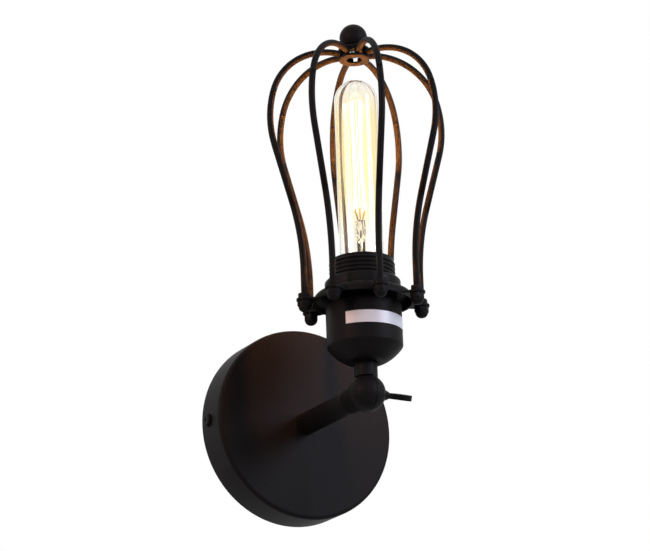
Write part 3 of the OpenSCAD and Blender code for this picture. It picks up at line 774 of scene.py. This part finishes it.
def strand_tree(cage_r, low, high):
    """Geometry Nodes: filament strands between the upper and lower hooks, round the support."""
    sizes = {"Cage radius": cage_r, "Low": low, "High": high}
    sizes.update({"Strands": STRANDS, "Strand radius": STRAND_R})
    tree, given, finish = new_tree("filament_strands", sizes)
    foot, top = (
        add(tree, "ShaderNodeCombineXYZ", {"X": given["Cage radius"], "Z": given[end]}).outputs[0]
        for end in ("Low", "High")
    )
    line = add(tree, "GeometryNodeCurvePrimitiveLine", {"Start": foot, "End": top})
    inputs = {"Curve": line.outputs[0], "Count": STRAND_POINTS}
    fine = add(tree, "GeometryNodeResampleCurve", inputs)
    along = add(tree, "GeometryNodeSplineParameter").outputs["Factor"]
    bow = maths(tree, "SINE", maths(tree, "MULTIPLY", along, math.pi))
    out = maths(tree, "MULTIPLY", bow, -STRAND_BOW * cage_r)
    shift = add(tree, "ShaderNodeCombineXYZ", {"X": out})
    inputs = {"Geometry": fine.outputs[0], "Offset": shift.outputs[0]}
    bent = add(tree, "GeometryNodeSetPosition", inputs)
    paths = copies_round_axis(tree, bent.outputs[0], given["Strands"])
    end_tree(tree, given, round_rod(tree, paths, given["Strand radius"], STRAND_SIDES), KNUCKLE)
    return tree, finish


class WALLLIGHT_OT_filament(bpy.types.Operator):
    """String the glowing filament strands"""

    bl_idname = "walllight.filament"
    bl_label = "String the filament"

    def execute(self, context):
        low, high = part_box("filament")
        cage_r = (high.x - low.x) / 2 - STRAND_R
        tree, finish = strand_tree(cage_r, low.z - KNUCKLE.z, high.z - KNUCKLE.z)
        strands = link_object("filament_strands", bpy.data.meshes.new("filament_strands"))
        run_tree(strands, tree, finish, MATERIALS["filament_metal"])
        finish_piece(strands, "head", MATERIALS["filament_metal"])
        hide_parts("filament")
        return {"FINISHED"}


# Studio


CLIP_NEAR = 0.05
CLIP_FAR = 30.0
FLOOR_SIZE = 6.0
# Share of white that lifts the floor for the rays that show it
FLOOR_LIFT = 0.7
# Height of a ray's direction at which the sky starts to light, and at which it lights in full
SKY_START = -0.4
SKY_FULL = 0.7
SOFT_LAMP_AIM = (0.0, -0.1, 0.08)
# Place, diameter, share of the key's power and colour of each soft lamp
SOFT_LAMPS = {
    "key_lamp": ((0.95, -1.4, 0.55), 0.8, 1.0, "#e2e8ff"),
    "side_lamp": ((-1.5, -0.5, 0.5), 0.7, 0.6, "#ffc9b2"),
}
# Height up the filament and share of the bulb's power of each lamp in it, and if it shines upwards only
FILAMENT_LAMPS = ((0.0, 0.13, False), (0.25, 0.42, True), (0.55, 0.45, True))
FILAMENT_LAMP_R = 4 * MM
UPWARD_BLEND = 0.3


class StudioSettings(bpy.types.PropertyGroup):
    """The photograph's camera and the soft light."""

    azimuth: angle_setting("Azimuth", "Camera's direction round the light", 29.22)
    elevation: angle_setting("Elevation", "How far the camera looks up", 18.16)
    roll: angle_setting("Roll", "Camera's roll", -1.9)
    place: bpy.props.FloatVectorProperty(
        name="Place",
        description="Camera's place",
        default=(-0.72296, -1.34618, -0.39767),
        subtype="TRANSLATION",
        unit="LENGTH",
    )
    focal_px: bpy.props.FloatProperty(
        name="Focal length", description="Focal length in pixels of the photograph", default=2500.0
    )
    world_strength: strength_setting("Surround", "Strength of the even light from all round", 0.52)
    key_power: strength_setting("Key", "Power of the large soft lamp", 18.5)
    bulb_power: strength_setting("Bulb power", "Power of the light in the bulb", 17.0)
    bulb_hex: colour_setting("Bulb colour", "Colour of the bulb's light", "#ffa040")
    floor_z: length_setting("Floor", "Height of the floor", -0.9)


def make_camera(studio):
    """The camera that took the photograph, as fitted to its outlines."""
    az, el = studio.azimuth, studio.elevation
    look = Vector((math.sin(az) * math.cos(el), math.cos(az) * math.cos(el), math.sin(el)))
    right = Vector((math.cos(az), -math.sin(az), 0.0))
    up = right.cross(look)
    c, s = math.cos(studio.roll), math.sin(studio.roll)
    right, up = c * right + s * up, c * up - s * right
    data = bpy.data.cameras.new("photo_camera")
    data.sensor_fit = "HORIZONTAL"
    data.sensor_width = SENSOR_MM
    data.lens = studio.focal_px * SENSOR_MM / PHOTO_WIDTH
    data.clip_start = CLIP_NEAR
    data.clip_end = CLIP_FAR
    camera = bpy.data.objects.new("photo_camera", data)
    turn = Matrix((right, up, -look)).transposed().to_4x4()
    camera.matrix_world = Matrix.Translation(Vector(studio.place)) @ turn
    bpy.context.scene.collection.objects.link(camera)
    bpy.context.scene.camera = camera


def soft_lamp(name, place, size, power, colour):
    """A large round lamp, turned towards the light."""
    data = bpy.data.lights.new(name, "AREA")
    data.shape = "DISK"
    data.size = size
    data.energy = power
    data.color = linear(colour)[:3]
    lamp = bpy.data.objects.new(name, data)
    aim = (Vector(SOFT_LAMP_AIM) - Vector(place)).to_track_quat("-Z", "Y")
    lamp.matrix_world = Matrix.Translation(Vector(place)) @ aim.to_matrix().to_4x4()
    bpy.context.scene.collection.objects.link(lamp)


def make_world(studio):
    """A plain surround: white to the eye, through glass and in reflections, and a dimmer light."""
    bpy.context.scene.view_settings.view_transform = "Standard"
    world = bpy.data.worlds.new("studio")
    world.use_nodes = True
    tree = world.node_tree
    tree.nodes.clear()
    generated = add(tree, "ShaderNodeTexCoord").outputs["Generated"]
    direction = add(tree, "ShaderNodeSeparateXYZ", {"Vector": generated})
    sky = add(
        tree,
        "ShaderNodeMapRange",
        {
            "Value": direction.outputs["Z"],
            "From Min": SKY_START,
            "From Max": SKY_FULL,
            "To Min": 0.0,
            "To Max": studio.world_strength,
        },
    )
    inputs = {"Color": linear("#f2f4f8"), "Strength": sky.outputs["Result"]}
    light = add(tree, "ShaderNodeBackground", inputs)
    white = add(tree, "ShaderNodeBackground", {"Color": linear("#ffffff"), "Strength": 1.0})
    inputs = {0: seen_rays(tree), 1: light.outputs[0], 2: white.outputs[0]}
    mix = add(tree, "ShaderNodeMixShader", inputs)
    add(tree, "ShaderNodeOutputWorld", {"Surface": mix.outputs[0]})
    bpy.context.scene.world = world


def floor_material():
    """Matt studio floor: grey as it lights, paler where it is seen, and it keeps the shadow."""
    material, tree = new_material("studio_floor")
    diffuse = add(tree, "ShaderNodeBsdfDiffuse", {"Color": linear("#8c8c8c")})
    lift = maths(tree, "MULTIPLY", seen_rays(tree), FLOOR_LIFT)
    pale = add(tree, "ShaderNodeEmission", {"Color": linear("#ffffff"), "Strength": lift})
    both = add(tree, "ShaderNodeAddShader", {0: diffuse.outputs[0], 1: pale.outputs[0]})
    output(tree, both.outputs[0])
    return material


def make_bulb_light(studio):
    """The filament's own light on the cage: small lamps in its strands, which tilt with the head.

    Those that shine upwards only leave the gallery below them dark. The eye, glass and reflections
    see none of them.
    """
    low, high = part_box("filament")
    middle = (low + high) / 2
    for i, (share, part, upwards) in enumerate(FILAMENT_LAMPS):
        data = bpy.data.lights.new(f"filament_light_{i}", "SPOT" if upwards else "POINT")
        data.energy = studio.bulb_power * part
        data.color = linear(studio.bulb_hex)[:3]
        data.shadow_soft_size = FILAMENT_LAMP_R
        lamp = bpy.data.objects.new(data.name, data)
        lamp.location = (middle.x, middle.y, low.z + share * (high.z - low.z))
        if upwards:
            data.spot_size = math.pi
            data.spot_blend = UPWARD_BLEND
            lamp.rotation_euler = (math.pi, 0.0, 0.0)
        lamp.visible_camera = False
        lamp.visible_transmission = False
        lamp.visible_glossy = False
        lamp.parent = frame["bodies"]["head"]
        lamp.matrix_parent_inverse = frame["bodies"]["head"].matrix_world.inverted()
        bpy.context.scene.collection.objects.link(lamp)


class WALLLIGHT_OT_studio(bpy.types.Operator):
    """Set the studio: floor, soft light and the photograph's camera"""

    bl_idname = "walllight.studio"
    bl_label = "Set the studio"

    def execute(self, context):
        studio = context.scene.wall_studio
        make_world(studio)
        bm = bmesh.new()
        bmesh.ops.create_grid(bm, x_segments=2, y_segments=2, size=FLOOR_SIZE)
        bmesh.ops.translate(bm, verts=bm.verts, vec=(0, 0, studio.floor_z))
        floor = object_from("floor", bm)
        floor.data.materials.append(floor_material())
        for name, (place, size, share, colour) in SOFT_LAMPS.items():
            soft_lamp(name, place, size, studio.key_power * share, colour)
        make_bulb_light(studio)
        make_camera(studio)
        return {"FINISHED"}


class WALLLIGHT_PT_panel(bpy.types.Panel):
    """Lists the wall light's operators"""

    bl_idname = "WALLLIGHT_PT_panel"
    bl_label = "Wall Light"
    bl_space_type = "VIEW_3D"
    bl_region_type = "UI"
    bl_category = "Wall Light"

    def draw(self, context):
        for operator in OPERATORS:
            self.layout.operator(operator.bl_idname)


OPERATORS = (
    WALLLIGHT_OT_coat,
    WALLLIGHT_OT_cage,
    WALLLIGHT_OT_screws,
    WALLLIGHT_OT_label,
    WALLLIGHT_OT_thread,
    WALLLIGHT_OT_filament,
    WALLLIGHT_OT_studio,
)
CLASSES = (LightSettings, StudioSettings, *OPERATORS, WALLLIGHT_PT_panel)


def register():
    for cls in CLASSES:
        bpy.utils.register_class(cls)
    bpy.types.Scene.wall_light = bpy.props.PointerProperty(type=LightSettings)
    bpy.types.Scene.wall_studio = bpy.props.PointerProperty(type=StudioSettings)


def unregister():
    del bpy.types.Scene.wall_studio
    del bpy.types.Scene.wall_light
    for cls in reversed(CLASSES):
        bpy.utils.unregister_class(cls)


def main():
    register()
    bpy.ops.walllight.coat()
    bpy.ops.walllight.cage()
    bpy.ops.walllight.screws()
    bpy.ops.walllight.label()
    bpy.ops.walllight.thread()
    bpy.ops.walllight.filament()
    bpy.ops.walllight.studio()


if __name__ == "__main__":
    main()
